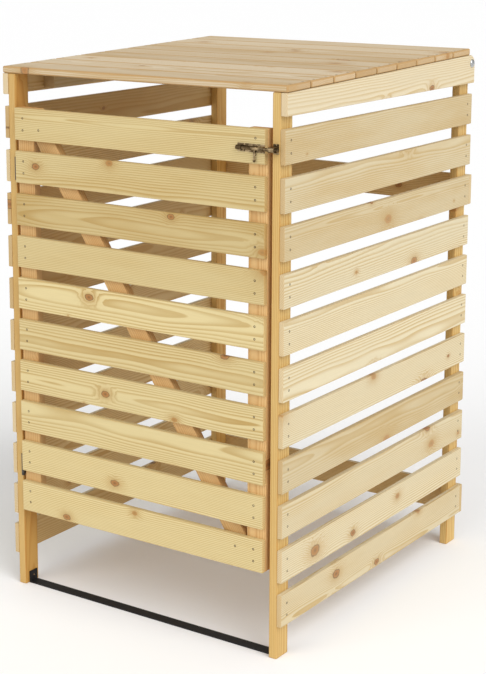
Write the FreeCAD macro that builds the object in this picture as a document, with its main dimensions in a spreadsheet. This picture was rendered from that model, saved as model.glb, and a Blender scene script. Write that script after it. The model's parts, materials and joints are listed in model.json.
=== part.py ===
"""Slatted timber store for one wheeled bin.

Four posts carry horizontal boards on both sides and two boards across the
back.  A boarded lid hangs between two side aprons that turn on bolts through
the rear posts.  A ledged and braced door hangs on two butt hinges on the left
front post and closes with a barrel bolt.  The front posts are tied on the
ground by a flat steel bar.

+X is to the right of someone facing the door, +Y is to the rear and +Z is up.
The origin is on the ground, under the centre of the whole store.
"""
import FreeCAD, Part
import math
import os
import Sketcher

SIDE_SLATS = 11
DOOR_SLATS = 10
LID_BOARDS = 9
UPPER_REAR_LEVEL = 8
LOWER_REAR_LEVEL = 0

# name, value in millimetres, meaning
SIZES = (
    ("overall_width", 724, "over the outer faces of the side boards"),
    ("side_length", 815, "length of a side board"),
    ("board_height", 70, "height of every side, rear and door board"),
    ("board_thickness", 11, "thickness of every side, rear and door board"),
    ("side_gap", 26, "open height between two side boards"),
    ("foot_height", 72, "ground to the lowest side board"),
    ("post_width", 19, "post, across the store"),
    ("post_depth", 44, "post, front to rear"),
    ("apron_gap", 26, "top side board to the lid's apron"),
    ("apron_front_height", 46, "apron at its front end"),
    ("apron_thickness", 15, "apron, across the store"),
    ("apron_corner_radius", 24, "rounding of the apron's upper rear corner"),
    ("side_play", 0.5, "apron to post, on each side"),
    ("rest_play", 0.2, "lid boards to the tops of the front posts"),
    ("lid_depth", 790, "all the lid boards together, along their slope"),
    ("lid_fall", 20, "how much lower the front of the lid is than its rear"),
    ("lid_board_thickness", 15, "lid board"),
    ("lid_board_gap", 2.5, "between two lid boards"),
    ("lid_batten_width", 30, "lid batten, across the store"),
    ("lid_batten_height", 44, "lid batten, down from the boards"),
    ("lid_batten_front", 118, "front of the lid to the front end of a lid batten"),
    ("lid_batten_rear_play", 14, "rear end of a lid batten to the rear post"),
    ("pivot_setback", 15, "lid pivot, forward of the rear end of the apron"),
    ("pivot_height", 46, "lid pivot, above the lower edge of the apron"),
    ("pivot_diameter", 8, "lid pivot bolt"),
    ("pivot_play", 0.05, "radial play of the apron on its bolt"),
    ("pivot_head_diameter", 19, "head of the pivot bolt"),
    ("pivot_head_height", 4.5, "head of the pivot bolt"),
    ("pivot_nut_width", 13, "pivot nut, across its flats"),
    ("pivot_nut_height", 6.5, "pivot nut"),
    ("pivot_bolt_end", 2, "bolt end beyond its nut"),
    ("post_over_pivot", 10, "top of a rear post above the lid pivot"),
    ("door_slat_gap", 24, "open height between two door boards"),
    ("door_stand", 1, "door boards in front of the posts' front faces"),
    ("door_hinge_gap", 7.5, "left post to the hinged edge of the door"),
    ("door_latch_gap", 9, "right post to the free edge of the door"),
    ("ledge_width", 45, "upright ledges of the door"),
    ("ledge_thickness", 19, "upright ledges and brace of the door"),
    ("brace_cheek", 63, "end of the brace, along an upright ledge"),
    ("brace_nose", 13, "end of the brace, along the top or bottom of the door"),
    ("hinge_height", 50, "butt hinge"),
    ("hinge_leaf_thickness", 1.2, "butt hinge leaf"),
    ("hinge_knuckle_radius", 3.4, "butt hinge knuckle"),
    ("hinge_pin_radius", 1.5, "butt hinge pin"),
    ("hinge_pin_play", 0.05, "radial play of the door's knuckle on its pin"),
    ("hinge_pin_cap", 0.8, "pin head beyond the knuckles"),
    ("hinge_axial_play", 0.3, "between two knuckles"),
    ("hinge_leaf_play", 0.2, "leaf to the other leaf's knuckle"),
    ("hinge_axis_stand", 5, "hinge axis in front of the posts' front faces"),
    ("lower_hinge_drop", 14, "lower hinge, below the ninth door board"),
    ("upper_hinge_inset", 5, "upper hinge, above the lower edge of the second door board"),
    ("latch_drop", 39, "barrel bolt axis, below the top of the door"),
    ("latch_plate_length", 64, "barrel bolt plate"),
    ("latch_plate_height", 17, "barrel bolt plate"),
    ("latch_sheet", 1.2, "thickness of the latch plate, its straps and the keep"),
    ("latch_rod_radius", 3.5, "barrel bolt rod"),
    ("latch_rod_play", 0.08, "radial play of the rod in its straps"),
    ("latch_rod_stand", 0.3, "rod clear of its plate"),
    ("latch_strap_width", 12, "each of the two straps"),
    ("latch_tip_play", 1.5, "tip of the rod, before the keep"),
    ("latch_tail", 0.5, "tail of the rod, beyond the left end of the plate"),
    ("latch_lever_back", 22, "lever, from the door's free edge"),
    ("latch_lever_radius", 2.5, "lever of the barrel bolt"),
    ("latch_lever_length", 24, "lever, down from the rod's axis"),
    ("latch_foot_radius", 3, "rounded end of the lever"),
    ("keep_width", 13, "keep's loop, across the post"),
    ("keep_end", 0.35, "keep's foot plate, beyond the heads of its screws"),
    ("keep_play", 1, "radial play of the rod in the keep"),
    ("keep_inset", 3, "keep's loop, from the post's inner face"),
    ("tie_bar_width", 25, "tie bar, front to rear"),
    ("tie_bar_thickness", 3, "tie bar"),
    ("tie_bar_setback", 12, "tie bar, behind the posts' front faces"),
    ("tie_tab_height", 27, "upturned ends of the tie bar"),
    ("tie_screw_height", 16, "screw in an upturned end, above the ground"),
    ("nail_radius", 1.1, "nail shank"),
    ("nail_head_radius", 2.6, "nail head"),
    ("nail_head_stand", 0.4, "nail head above the wood"),
    ("frame_nail_length", 28, "nails of the side and rear boards"),
    ("door_nail_length", 24, "nails of the door boards"),
    ("lid_nail_length", 34, "nails of the lid boards"),
    ("board_nail_spacing", 26, "two nails at one end of a side or rear board"),
    ("door_nail_spacing", 26, "two nails at one end of a door board"),
    ("latch_nail_spacing", 32, "two nails above and below the barrel bolt"),
    ("lid_nail_spacing", 46, "two nails at one end of a lid board"),
    ("screw_radius", 1.4, "screw shank"),
    ("screw_hole_play", 0.2, "screw hole around its screw"),
    ("screw_head_radius", 2, "screw head"),
    ("screw_head_height", 1.1, "screw head"),
    ("screw_length", 12, "screw shank"),
    ("plate_screw_spread", 12, "two screws of the latch plate, up and down"),
    ("plate_screw_inset", 16.5, "screws of the latch plate, from its left end"),
    ("plate_screw_pitch", 29, "left to right pair of latch plate screws"),
    ("keep_screw_clear", 0.2, "heads of the keep's screws, from its loop"),
    ("hinge_screw_spread", 30, "two screws of a hinge leaf, up and down"),
)

# name, formula on the sizes and on earlier places
PLACES = (
    ("half_width", "sizes.overall_width / 2"),
    ("post_outer", "half_width - sizes.board_thickness"),
    ("post_inner", "post_outer - sizes.post_width"),
    ("post_middle", "post_outer - sizes.post_width / 2"),
    ("slat_pitch", "sizes.board_height + sizes.side_gap"),
    ("slats_top", f"sizes.foot_height + {SIDE_SLATS - 1} * slat_pitch + sizes.board_height"),
    ("latch_axis_out", "sizes.latch_sheet + sizes.latch_rod_stand + sizes.latch_rod_radius"),
    ("keep_bore", "sizes.latch_rod_radius + sizes.keep_play"),
    ("door_out", "sizes.door_stand + sizes.board_thickness"),
    ("front_reach", "door_out + latch_axis_out + keep_bore + sizes.latch_sheet"),
    ("rear_reach", "sizes.side_length + sizes.board_thickness + sizes.nail_head_stand"),
    ("front_y", "(front_reach - rear_reach) / 2"),
    ("rear_y", "front_y + sizes.side_length"),
    ("rear_post_y", "rear_y - sizes.post_depth"),
    ("apron_bottom", "slats_top + sizes.apron_gap"),
    ("apron_inner", "post_outer + sizes.side_play"),
    ("apron_outer", "apron_inner + sizes.apron_thickness"),
    ("lid_angle", "asin(sizes.lid_fall / sizes.lid_depth)"),
    ("lid_front_z", "apron_bottom + sizes.apron_front_height"),
    ("apron_rear_height", "sizes.apron_front_height + sizes.side_length * tan(lid_angle)"),
    ("lid_board_width", f"(sizes.lid_depth - {LID_BOARDS - 1} * sizes.lid_board_gap) / {LID_BOARDS}"),
    ("lid_board_pitch", "lid_board_width + sizes.lid_board_gap"),
    ("front_post_top", "lid_front_z - sizes.rest_play"),
    ("pivot_y", "rear_y - sizes.pivot_setback"),
    ("pivot_z", "apron_bottom + sizes.pivot_height"),
    ("rear_post_top", "pivot_z + sizes.post_over_pivot"),
    ("lid_batten_length", "rear_post_y - front_y - sizes.lid_batten_front - sizes.lid_batten_rear_play"),
    ("lid_batten_y", "front_y + sizes.lid_batten_front * cos(lid_angle)"
                     " + sizes.lid_batten_height * sin(lid_angle)"),
    ("lid_batten_z", "lid_front_z + sizes.lid_batten_front * sin(lid_angle)"
                     " - sizes.lid_batten_height * cos(lid_angle)"),
    ("door_left", "sizes.door_hinge_gap - post_inner"),
    ("door_right", "post_inner - sizes.door_latch_gap"),
    ("door_width", "door_right - door_left"),
    ("door_y", "front_y - door_out"),
    ("ledge_y", "front_y - sizes.door_stand"),
    ("door_pitch", "sizes.board_height + sizes.door_slat_gap"),
    ("door_top", "slats_top"),
    ("door_height", f"{DOOR_SLATS - 1} * door_pitch + sizes.board_height"),
    ("door_bottom", "door_top - door_height"),
    ("brace_run", "door_width - 2 * sizes.ledge_width"),
    ("hinge_x", "sizes.door_hinge_gap / 2 - post_inner"),
    ("hinge_y", "front_y - sizes.hinge_axis_stand"),
    ("hinge_leaf_y", "hinge_y + sizes.hinge_knuckle_radius + sizes.hinge_leaf_play"),
    ("hinge_leaf_depth", "ledge_y + sizes.ledge_thickness - hinge_leaf_y"),
    ("hinge_knuckle_height", "(sizes.hinge_height - 2 * sizes.hinge_axial_play) / 3"),
    ("hinge_screw_y", "hinge_leaf_y + hinge_leaf_depth / 2"),
    ("lower_hinge_z", "door_bottom + door_pitch - sizes.lower_hinge_drop"),
    ("upper_hinge_z", "door_top - door_pitch - sizes.board_height + sizes.upper_hinge_inset"),
    ("latch_z", "door_top - sizes.latch_drop"),
    ("latch_y", "door_y - latch_axis_out"),
    ("latch_left", "door_right - sizes.latch_plate_length"),
    ("latch_bore", "sizes.latch_rod_radius + sizes.latch_rod_play"),
    ("latch_strap_radius", "latch_bore + sizes.latch_sheet"),
    ("latch_rod_left", "latch_left - sizes.latch_tail"),
    ("latch_lever_x", "door_right - sizes.latch_lever_back"),
    ("keep_x", "post_inner + sizes.keep_inset"),
    ("latch_rod_length", "keep_x - sizes.latch_tip_play - latch_rod_left"),
    ("keep_outer_radius", "keep_bore + sizes.latch_sheet"),
    ("keep_screw_spread", "2 * (keep_outer_radius + sizes.screw_head_radius + sizes.keep_screw_clear)"),
    ("keep_height", "keep_screw_spread + 2 * (sizes.screw_head_radius + sizes.keep_end)"),
    ("keep_depth", "front_y - latch_y"),
    ("tie_bar_y", "front_y + sizes.tie_bar_setback + sizes.tie_bar_width / 2"),
    ("screw_hole_radius", "sizes.screw_radius + sizes.screw_hole_play"),
)

doc = FreeCAD.newDocument("bin_store")
sizes = doc.addObject("Spreadsheet::Sheet", "sizes")
for row, (alias, number, meaning) in enumerate(SIZES, start=1):
    sizes.set(f"A{row}", alias)
    sizes.set(f"B{row}", str(number))
    sizes.set(f"C{row}", meaning)
    sizes.setAlias(f"B{row}", alias)
places = doc.addObject("Spreadsheet::Sheet", "places")
for row, (alias, formula) in enumerate(PLACES, start=1):
    places.set(f"A{row}", alias)
    places.set(f"B{row}", "=" + formula)
    places.setAlias(f"B{row}", alias)
doc.recompute()

nodes = []
X_AXIS = FreeCAD.Vector(1, 0, 0)
Y_AXIS = FreeCAD.Vector(0, 1, 0)
Z_AXIS = FreeCAD.Vector(0, 0, 1)
ALONG_X = FreeCAD.Rotation(Y_AXIS, 90)
ALONG_MINUS_X = FreeCAD.Rotation(Y_AXIS, -90)
ALONG_Y = FreeCAD.Rotation(X_AXIS, -90)
ALONG_MINUS_Y = FreeCAD.Rotation(X_AXIS, 90)
TINY = 1e-6


def size(alias):
    """A driving dimension as a number."""
    return float(sizes.get(alias))


def place(alias):
    """A worked-out place as a number; angles are in degrees."""
    value = places.get(alias)
    return float(getattr(value, "Value", value))


def bind(thing, **formulas):
    """Ties properties of an object to formulas on the two sheets."""
    for name, formula in formulas.items():
        thing.setExpression(name, formula)


def bind_base(thing, x="0", y="0", z="0"):
    """Ties the position of an object to three formulas."""
    for letter, formula in (("x", x), ("y", y), ("z", z)):
        thing.setExpression("Placement.Base." + letter, formula)


def keep_node(thing, name):
    """Gives a finished sub-part the name of its node."""
    thing.Label = name
    nodes.append(thing)
    return thing


def box(name, length, width, height, x, y, z):
    """A rectangular piece with its lowest corner at x, y, z."""
    piece = doc.addObject("Part::Box", name)
    bind(piece, Length=length, Width=width, Height=height)
    bind_base(piece, x, y, z)
    return piece


def rod(name, radius, height, x, y, z, turn=None):
    """A round piece that starts at x, y, z and runs along its turned axis."""
    piece = doc.addObject("Part::Cylinder", name)
    bind(piece, Radius=radius, Height=height)
    if turn:
        piece.Placement = FreeCAD.Placement(FreeCAD.Vector(), turn)
    bind_base(piece, x, y, z)
    return piece


def fuse(name, pieces):
    """Several pieces as one solid."""
    whole = doc.addObject("Part::MultiFuse", name)
    whole.Shapes = pieces
    whole.Refine = True
    return whole


def cut(name, base, tools):
    """A piece with other pieces taken out of it."""
    for index, tool in enumerate(tools):
        step = doc.addObject("Part::Cut", f"{name}_step_{index}")
        step.Base = base
        step.Tool = tool
        base = step
    return base


def group(name, pieces):
    """Several like solids that share one node."""
    whole = doc.addObject("Part::Compound", name)
    whole.Links = pieces
    return keep_node(whole, name)


def origin_plane(body, role):
    """One of the body's own origin planes."""
    return next(f for f in body.Origin.OriginFeatures if f.Role == role)


def new_sketch(body, name, role):
    """A sketch on one of the body's origin planes."""
    sketch = body.newObject("Sketcher::SketchObject", name)
    sketch.AttachmentSupport = (origin_plane(body, role), [""])
    sketch.MapMode = "FlatFace"
    return sketch


def pin_point(sketch, curve, point, coordinates):
    """Ties one point of a sketch to two formulas; None keeps it on an axis."""
    for kind, axis, formula in (("DistanceX", -2, coordinates[0]), ("DistanceY", -1, coordinates[1])):
        if formula is None:
            sketch.addConstraint(Sketcher.Constraint("PointOnObject", curve, point, axis))
        else:
            index = sketch.addConstraint(Sketcher.Constraint(kind, -1, 1, curve, point, 1.0))
            sketch.setExpression(f"Constraints[{index}]", formula)


def draw_outline(sketch, corners, guesses):
    """A closed outline of straight lines through named corners."""
    count = len(corners)
    for index in range(count):
        start = FreeCAD.Vector(*guesses[index], 0)
        end = FreeCAD.Vector(*guesses[(index + 1) % count], 0)
        sketch.addGeometry(Part.LineSegment(start, end), False)
    for index in range(count):
        sketch.addConstraint(Sketcher.Constraint("Coincident", index, 2, (index + 1) % count, 1))
    for index, corner in enumerate(corners):
        pin_point(sketch, index, 1, corner)


def draw_circle(sketch, radius, centre, guess):
    """A circle of a named radius about a named centre."""
    middle = FreeCAD.Vector(*guess, 0)
    curve = sketch.addGeometry(Part.Circle(middle, Z_AXIS, 1.0), False)
    index = sketch.addConstraint(Sketcher.Constraint("Radius", curve, 1.0))
    sketch.setExpression(f"Constraints[{index}]", radius)
    pin_point(sketch, curve, 3, centre)


def padded_body(name, role, corners, guesses, thickness, midplane):
    """A body padded from one straight-sided outline."""
    body = doc.addObject("PartDesign::Body", name)
    sketch = new_sketch(body, name + "_outline", role)
    draw_outline(sketch, corners, guesses)
    pad = body.newObject("PartDesign::Pad", name + "_pad")
    pad.Profile = sketch
    pad.SideType = "Symmetric" if midplane else "One side"
    bind(pad, Length=thickness)
    body.Tip = pad
    doc.recompute()
    return body


def round_holes(body, name, role, circles):
    """Pockets round holes right through a body, both ways from the plane."""
    before = body.Shape.Volume
    sketch = new_sketch(body, name + "_circles", role)
    for radius, centre, guess in circles:
        draw_circle(sketch, radius, centre, guess)
    pocket = body.newObject("PartDesign::Pocket", name)
    pocket.Profile = sketch
    pocket.Type = "ThroughAll"
    pocket.SideType = "Symmetric"
    body.Tip = pocket
    doc.recompute()
    if body.Shape.Volume > before - TINY:
        raise RuntimeError(f"{name} cuts nothing")


def round_edges(body, name, radius, chosen):
    """Rounds the edges of a body that a test picks out."""
    base = body.Tip
    names = [f"Edge{i}" for i, edge in enumerate(base.Shape.Edges, start=1) if chosen(edge)]
    if not names:
        raise RuntimeError(f"{name} finds no edge")
    fillet = body.newObject("PartDesign::Fillet", name)
    fillet.Base = (base, names)
    bind(fillet, Radius=radius)
    body.Tip = fillet
    doc.recompute()


def edge_at(edge, y, z):
    """Whether a straight edge runs across the store through y, z."""
    return all(abs(v.Y - y) < TINY and abs(v.Z - z) < TINY for v in edge.Vertexes)


def make_posts():
    """Four posts; the rear pair is bored for the lid's pivot bolts."""
    for side, x in (("left", "-places.post_outer"), ("right", "places.post_inner")):
        front = box(f"post_front_{side}", "sizes.post_width", "sizes.post_depth",
                    "places.front_post_top", x, "places.front_y", "0")
        keep_node(front, f"post_front_{side}")
        blank = box(f"post_rear_{side}_blank", "sizes.post_width", "sizes.post_depth",
                    "places.rear_post_top", x, "places.rear_post_y", "0")
        drill = rod(f"post_rear_{side}_drill", "sizes.pivot_diameter / 2", "sizes.post_width",
                    x, "places.pivot_y", "places.pivot_z", ALONG_X)
        keep_node(cut(f"post_rear_{side}", blank, [drill]), f"post_rear_{side}")


def make_side_slats():
    """Boards nailed on the outer faces of the posts."""
    for side, x in (("left", "-places.half_width"), ("right", "places.post_outer")):
        for level in range(SIDE_SLATS):
            name = f"side_slat_{side}_{level + 1:02d}"
            slat = box(name, "sizes.board_thickness", "sizes.side_length", "sizes.board_height",
                       x, "places.front_y", f"sizes.foot_height + {level} * places.slat_pitch")
            keep_node(slat, name)


def make_rear_boards():
    """Two boards across the rear ends of the posts and side boards."""
    for name, level in (("rear_board_upper", UPPER_REAR_LEVEL), ("rear_board_lower", LOWER_REAR_LEVEL)):
        board = box(name, "sizes.overall_width", "sizes.board_thickness", "sizes.board_height",
                    "-places.half_width", "places.rear_y", f"sizes.foot_height + {level} * places.slat_pitch")
        keep_node(board, name)


def make_tie_bar():
    """A flat bar on the ground between the front posts, with upturned ends."""
    thick, tab = "sizes.tie_bar_thickness", "sizes.tie_tab_height"
    span = "2 * places.post_inner"
    corners = ((None, None), (span, None), (span, tab), (f"{span} - {thick}", tab),
               (f"{span} - {thick}", thick), (thick, thick), (thick, tab), (None, tab))
    wide, sheet, tall = 2 * place("post_inner"), size("tie_bar_thickness"), size("tie_tab_height")
    guesses = ((0, 0), (wide, 0), (wide, tall), (wide - sheet, tall),
               (wide - sheet, sheet), (sheet, sheet), (sheet, tall), (0, tall))
    body = padded_body("tie_bar", "XZ_Plane", corners, guesses, "sizes.tie_bar_width", True)
    round_holes(body, "tie_bar_holes", "YZ_Plane",
                [("places.screw_hole_radius", (None, "sizes.tie_screw_height"), (0, size("tie_screw_height")))])
    bind_base(body, "-places.post_inner", "places.tie_bar_y", "0")
    keep_node(body, "tie_bar")


def make_aprons():
    """Tapered side boards of the lid, bored for the pivot bolts."""
    length, front, rear = size("side_length"), size("apron_front_height"), place("apron_rear_height")
    corners = ((None, None), ("sizes.side_length", None),
               ("sizes.side_length", "places.apron_rear_height"), (None, "sizes.apron_front_height"))
    guesses = ((0, 0), (length, 0), (length, rear), (0, front))
    pivot = ("sizes.side_length - sizes.pivot_setback", "sizes.pivot_height")
    pivot_guess = (length - size("pivot_setback"), size("pivot_height"))
    for side, x in (("left", "-places.apron_outer"), ("right", "places.apron_inner")):
        name = f"lid_apron_{side}"
        body = padded_body(name, "YZ_Plane", corners, guesses, "sizes.apron_thickness", False)
        round_edges(body, f"{name}_corner", "sizes.apron_corner_radius",
                    lambda edge: edge_at(edge, length, rear))
        round_holes(body, f"{name}_bore", "YZ_Plane",
                    [("sizes.pivot_diameter / 2 + sizes.pivot_play", pivot, pivot_guess)])
        bind_base(body, x, "places.front_y", "places.apron_bottom")
        keep_node(body, name)


def tilt_with_lid(piece):
    """Gives a piece the slope of the lid about its lowest front edge."""
    piece.Placement = FreeCAD.Placement(FreeCAD.Vector(), FreeCAD.Rotation(X_AXIS, 1))
    piece.setExpression("Placement.Rotation.Angle", "places.lid_angle")


def make_lid_boards():
    """Boards across the top, side by side down the slope of the lid."""
    boards = []
    for row in range(LID_BOARDS):
        board = doc.addObject("Part::Box", f"lid_board_{row + 1}")
        bind(board, Length="2 * places.apron_outer", Width="places.lid_board_width",
             Height="sizes.lid_board_thickness")
        tilt_with_lid(board)
        bind_base(board, "-places.apron_outer",
                  f"places.front_y + {row} * places.lid_board_pitch * cos(places.lid_angle)",
                  f"places.lid_front_z + {row} * places.lid_board_pitch * sin(places.lid_angle)")
        boards.append(board)
    group("lid_boards", boards)


def make_lid_battens():
    """Battens under the lid boards, just inside the aprons."""
    for side, x in (("left", "-places.apron_inner"),
                    ("right", "places.apron_inner - sizes.lid_batten_width")):
        batten = doc.addObject("Part::Box", f"lid_batten_{side}")
        bind(batten, Length="sizes.lid_batten_width", Width="places.lid_batten_length",
             Height="sizes.lid_batten_height")
        tilt_with_lid(batten)
        bind_base(batten, x, "places.lid_batten_y", "places.lid_batten_z")
        keep_node(batten, f"lid_batten_{side}")


def make_pivots():
    """Bolts and nuts that the lid's aprons turn on."""
    bolts, nuts = [], []
    grip = "sizes.apron_thickness + sizes.side_play + sizes.post_width + sizes.pivot_nut_height"
    for side, sign, inward, outward in (("left", "-", ALONG_X, ALONG_MINUS_X),
                                        ("right", "", ALONG_MINUS_X, ALONG_X)):
        at = (f"{sign}places.apron_outer", "places.pivot_y", "places.pivot_z")
        shank = rod(f"pivot_shank_{side}", "sizes.pivot_diameter / 2", f"{grip} + sizes.pivot_bolt_end",
                    *at, inward)
        head = doc.addObject("Part::Cone", f"pivot_head_{side}")
        bind(head, Radius1="sizes.pivot_head_diameter / 2", Radius2="sizes.pivot_head_diameter / 3",
             Height="sizes.pivot_head_height")
        head.Placement = FreeCAD.Placement(FreeCAD.Vector(), outward)
        bind_base(head, *at)
        bolts.append(fuse(f"pivot_bolt_{side}", [shank, head]))
        nut_at = (f"{sign}places.post_inner", "places.pivot_y", "places.pivot_z")
        hexagon = doc.addObject("Part::Prism", f"pivot_hexagon_{side}")
        hexagon.Polygon = 6
        bind(hexagon, Circumradius="sizes.pivot_nut_width / sqrt(3)", Height="sizes.pivot_nut_height")
        hexagon.Placement = FreeCAD.Placement(FreeCAD.Vector(), inward)
        bind_base(hexagon, *nut_at)
        thread = rod(f"pivot_thread_{side}", "sizes.pivot_diameter / 2", "sizes.pivot_nut_height",
                     *nut_at, inward)
        nuts.append(cut(f"pivot_nut_{side}", hexagon, [thread]))
    group("lid_pivot_bolts", bolts)
    group("lid_pivot_nuts", nuts)


def make_door():
    """Door boards on two upright ledges and a brace."""
    for row in range(DOOR_SLATS):
        name = f"door_slat_{row + 1:02d}"
        slat = box(name, "places.door_width", "sizes.board_thickness", "sizes.board_height",
                   "places.door_left", "places.door_y",
                   f"places.door_top - sizes.board_height - {row} * places.door_pitch")
        keep_node(slat, name)
    for name, x in (("door_ledge_hinge_side", "places.door_left"),
                    ("door_ledge_latch_side", "places.door_right - sizes.ledge_width")):
        ledge = box(name, "sizes.ledge_width", "sizes.ledge_thickness", "places.door_height",
                    x, "places.ledge_y", "places.door_bottom")
        keep_node(ledge, name)
    run, top = "places.brace_run", "places.door_height"
    cheek, nose = "sizes.brace_cheek", "sizes.brace_nose"
    corners = ((run, None), (run, cheek), (nose, top), (None, top),
               (None, f"{top} - {cheek}"), (f"{run} - {nose}", None))
    long, tall = place("brace_run"), place("door_height")
    side, tip = size("brace_cheek"), size("brace_nose")
    guesses = ((long, 0), (long, side), (tip, tall), (0, tall), (0, tall - side), (long - tip, 0))
    brace = padded_body("door_brace", "XZ_Plane", corners, guesses, "sizes.ledge_thickness", True)
    bind_base(brace, "places.door_left + sizes.ledge_width",
              "places.ledge_y + sizes.ledge_thickness / 2", "places.door_bottom")
    keep_node(brace, "door_brace")


HINGES = (("lower", "places.lower_hinge_z"), ("upper", "places.upper_hinge_z"))


def hinge_leaf(name, leaf_x, screw_x, hinge_z, knuckle_steps, bore):
    """One leaf: a flat plate with its own share of the knuckles, bored and drilled."""
    thick = "sizes.hinge_leaf_thickness"
    parts = [box(f"{name}_plate", thick, "places.hinge_leaf_depth", "sizes.hinge_height",
                 leaf_x, "places.hinge_leaf_y", hinge_z)]
    step = "(places.hinge_knuckle_height + sizes.hinge_axial_play)"
    for number in knuckle_steps:
        z = f"{hinge_z} + {number} * {step}"
        parts.append(rod(f"{name}_knuckle_{number}", "sizes.hinge_knuckle_radius",
                         "places.hinge_knuckle_height", "places.hinge_x", "places.hinge_y", z))
        parts.append(box(f"{name}_tongue_{number}", thick, "places.hinge_leaf_y - places.hinge_y",
                         "places.hinge_knuckle_height", leaf_x, "places.hinge_y", z))
    tools = [rod(f"{name}_bore", bore, "sizes.hinge_height", "places.hinge_x", "places.hinge_y", hinge_z)]
    for number, sign in ((0, "-"), (1, "+")):
        z = f"{hinge_z} + sizes.hinge_height / 2 {sign} sizes.hinge_screw_spread / 2"
        tools.append(rod(f"{name}_hole_{number}", "places.screw_hole_radius", thick,
                         screw_x, "places.hinge_screw_y", z, ALONG_X))
    return cut(name, fuse(f"{name}_blank", parts), tools)


def make_hinges():
    """Two butt hinges: leaves on the post, leaves on the door, and their pins."""
    post_leaves, door_leaves, pins = [], [], []
    post_x, door_x = "-places.post_inner", "places.door_left - sizes.hinge_leaf_thickness"
    for which, z in HINGES:
        post_leaves.append(hinge_leaf(f"hinge_post_leaf_{which}", post_x, post_x, z, (0, 2),
                                      "sizes.hinge_pin_radius"))
        door_leaves.append(hinge_leaf(f"hinge_door_leaf_{which}", door_x, door_x, z, (1,),
                                      "sizes.hinge_pin_radius + sizes.hinge_pin_play"))
        pin = rod(f"hinge_pin_shank_{which}", "sizes.hinge_pin_radius", "sizes.hinge_height",
                  "places.hinge_x", "places.hinge_y", z)
        caps = []
        for end, cap_z in (("foot", f"{z} - sizes.hinge_pin_cap"), ("head", f"{z} + sizes.hinge_height")):
            caps.append(rod(f"hinge_pin_{end}_{which}", "sizes.hinge_knuckle_radius - sizes.hinge_pin_cap",
                            "sizes.hinge_pin_cap", "places.hinge_x", "places.hinge_y", cap_z))
        pins.append(fuse(f"hinge_pin_{which}", [pin, *caps]))
    group("hinge_post_leaves", post_leaves)
    group("hinge_door_leaves", door_leaves)
    group("hinge_pins", pins)


def loop_around_rod(name, x, width, outer, bore, depth):
    """A bent strap: a half round over the rod with two straight legs to its plate."""
    lower = f"places.latch_z - {outer}"
    shell = fuse(f"{name}_shell", [
        rod(f"{name}_round", outer, width, x, "places.latch_y", "places.latch_z", ALONG_X),
        box(f"{name}_legs", width, depth, f"2 * {outer}", x, "places.latch_y", lower)])
    hollow = fuse(f"{name}_hollow", [
        rod(f"{name}_bore", bore, width, x, "places.latch_y", "places.latch_z", ALONG_X),
        box(f"{name}_slot", width, depth, f"2 * {bore}", x, "places.latch_y", f"places.latch_z - {bore}")])
    return cut(name, shell, [hollow])


def make_latch():
    """Barrel bolt: plate with three straps, sliding rod with its lever, and keep."""
    depth = "places.latch_axis_out - sizes.latch_sheet"
    plate = box("latch_plate_sheet", "sizes.latch_plate_length", "sizes.latch_sheet",
                "sizes.latch_plate_height", "places.latch_left", "places.door_y - sizes.latch_sheet",
                "places.latch_z - sizes.latch_plate_height / 2")
    straps = []
    for number, x in enumerate(("places.latch_left", "places.door_right - sizes.latch_strap_width")):
        straps.append(loop_around_rod(f"latch_strap_{number}", x, "sizes.latch_strap_width",
                                      "places.latch_strap_radius", "places.latch_bore", depth))
    holes = []
    for x, z in latch_screw_formulas():
        holes.append(rod(f"latch_plate_hole_{len(holes)}", "places.screw_hole_radius", "sizes.latch_sheet",
                         x, "places.door_y - sizes.latch_sheet", z, ALONG_Y))
    keep_node(cut("latch_plate", fuse("latch_plate_blank", [plate, *straps]), holes), "latch_plate")

    shaft = rod("latch_shaft", "sizes.latch_rod_radius", "places.latch_rod_length",
                "places.latch_rod_left", "places.latch_y", "places.latch_z", ALONG_X)
    lever = rod("latch_lever", "sizes.latch_lever_radius", "sizes.latch_lever_length",
                "places.latch_lever_x", "places.latch_y", "places.latch_z - sizes.latch_lever_length")
    foot = doc.addObject("Part::Sphere", "latch_foot")
    bind(foot, Radius="sizes.latch_foot_radius")
    bind_base(foot, "places.latch_lever_x", "places.latch_y", "places.latch_z - sizes.latch_lever_length")
    keep_node(fuse("latch_bolt", [shaft, lever, foot]), "latch_bolt")

    loop = loop_around_rod("latch_keep_loop", "places.keep_x", "sizes.keep_width",
                           "places.keep_outer_radius", "places.keep_bore",
                           "places.keep_depth - sizes.latch_sheet")
    foot_plate = box("latch_keep_foot", "sizes.keep_width", "sizes.latch_sheet", "places.keep_height",
                     "places.keep_x", "places.front_y - sizes.latch_sheet",
                     "places.latch_z - places.keep_height / 2")
    drills = []
    for sign in ("-", "+"):
        drills.append(rod(f"latch_keep_hole_{len(drills)}", "places.screw_hole_radius", "sizes.latch_sheet",
                          "places.keep_x + sizes.keep_width / 2", "places.front_y - sizes.latch_sheet",
                          f"places.latch_z {sign} places.keep_screw_spread / 2", ALONG_Y))
    keep_node(cut("latch_keep", fuse("latch_keep_blank", [loop, foot_plate]), drills), "latch_keep")


def latch_screw_formulas():
    """Where the four screws of the latch plate are, across and up."""
    for column in range(2):
        x = f"places.latch_left + sizes.plate_screw_inset + {column} * sizes.plate_screw_pitch"
        for sign in ("-", "+"):
            yield x, f"places.latch_z {sign} sizes.plate_screw_spread / 2"


def fastener(head_shape, shank_radius, shank_length):
    """A fastener with its shank down -Z from the surface and its head up from it."""
    shank = Part.makeCylinder(shank_radius, shank_length, FreeCAD.Vector(0, 0, -shank_length))
    return shank.fuse(head_shape).removeSplitter()


def nail(length):
    """A nail with a thin flat head."""
    head = Part.makeCylinder(size("nail_head_radius"), size("nail_head_stand"))
    return fastener(head, size("nail_radius"), length)


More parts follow.
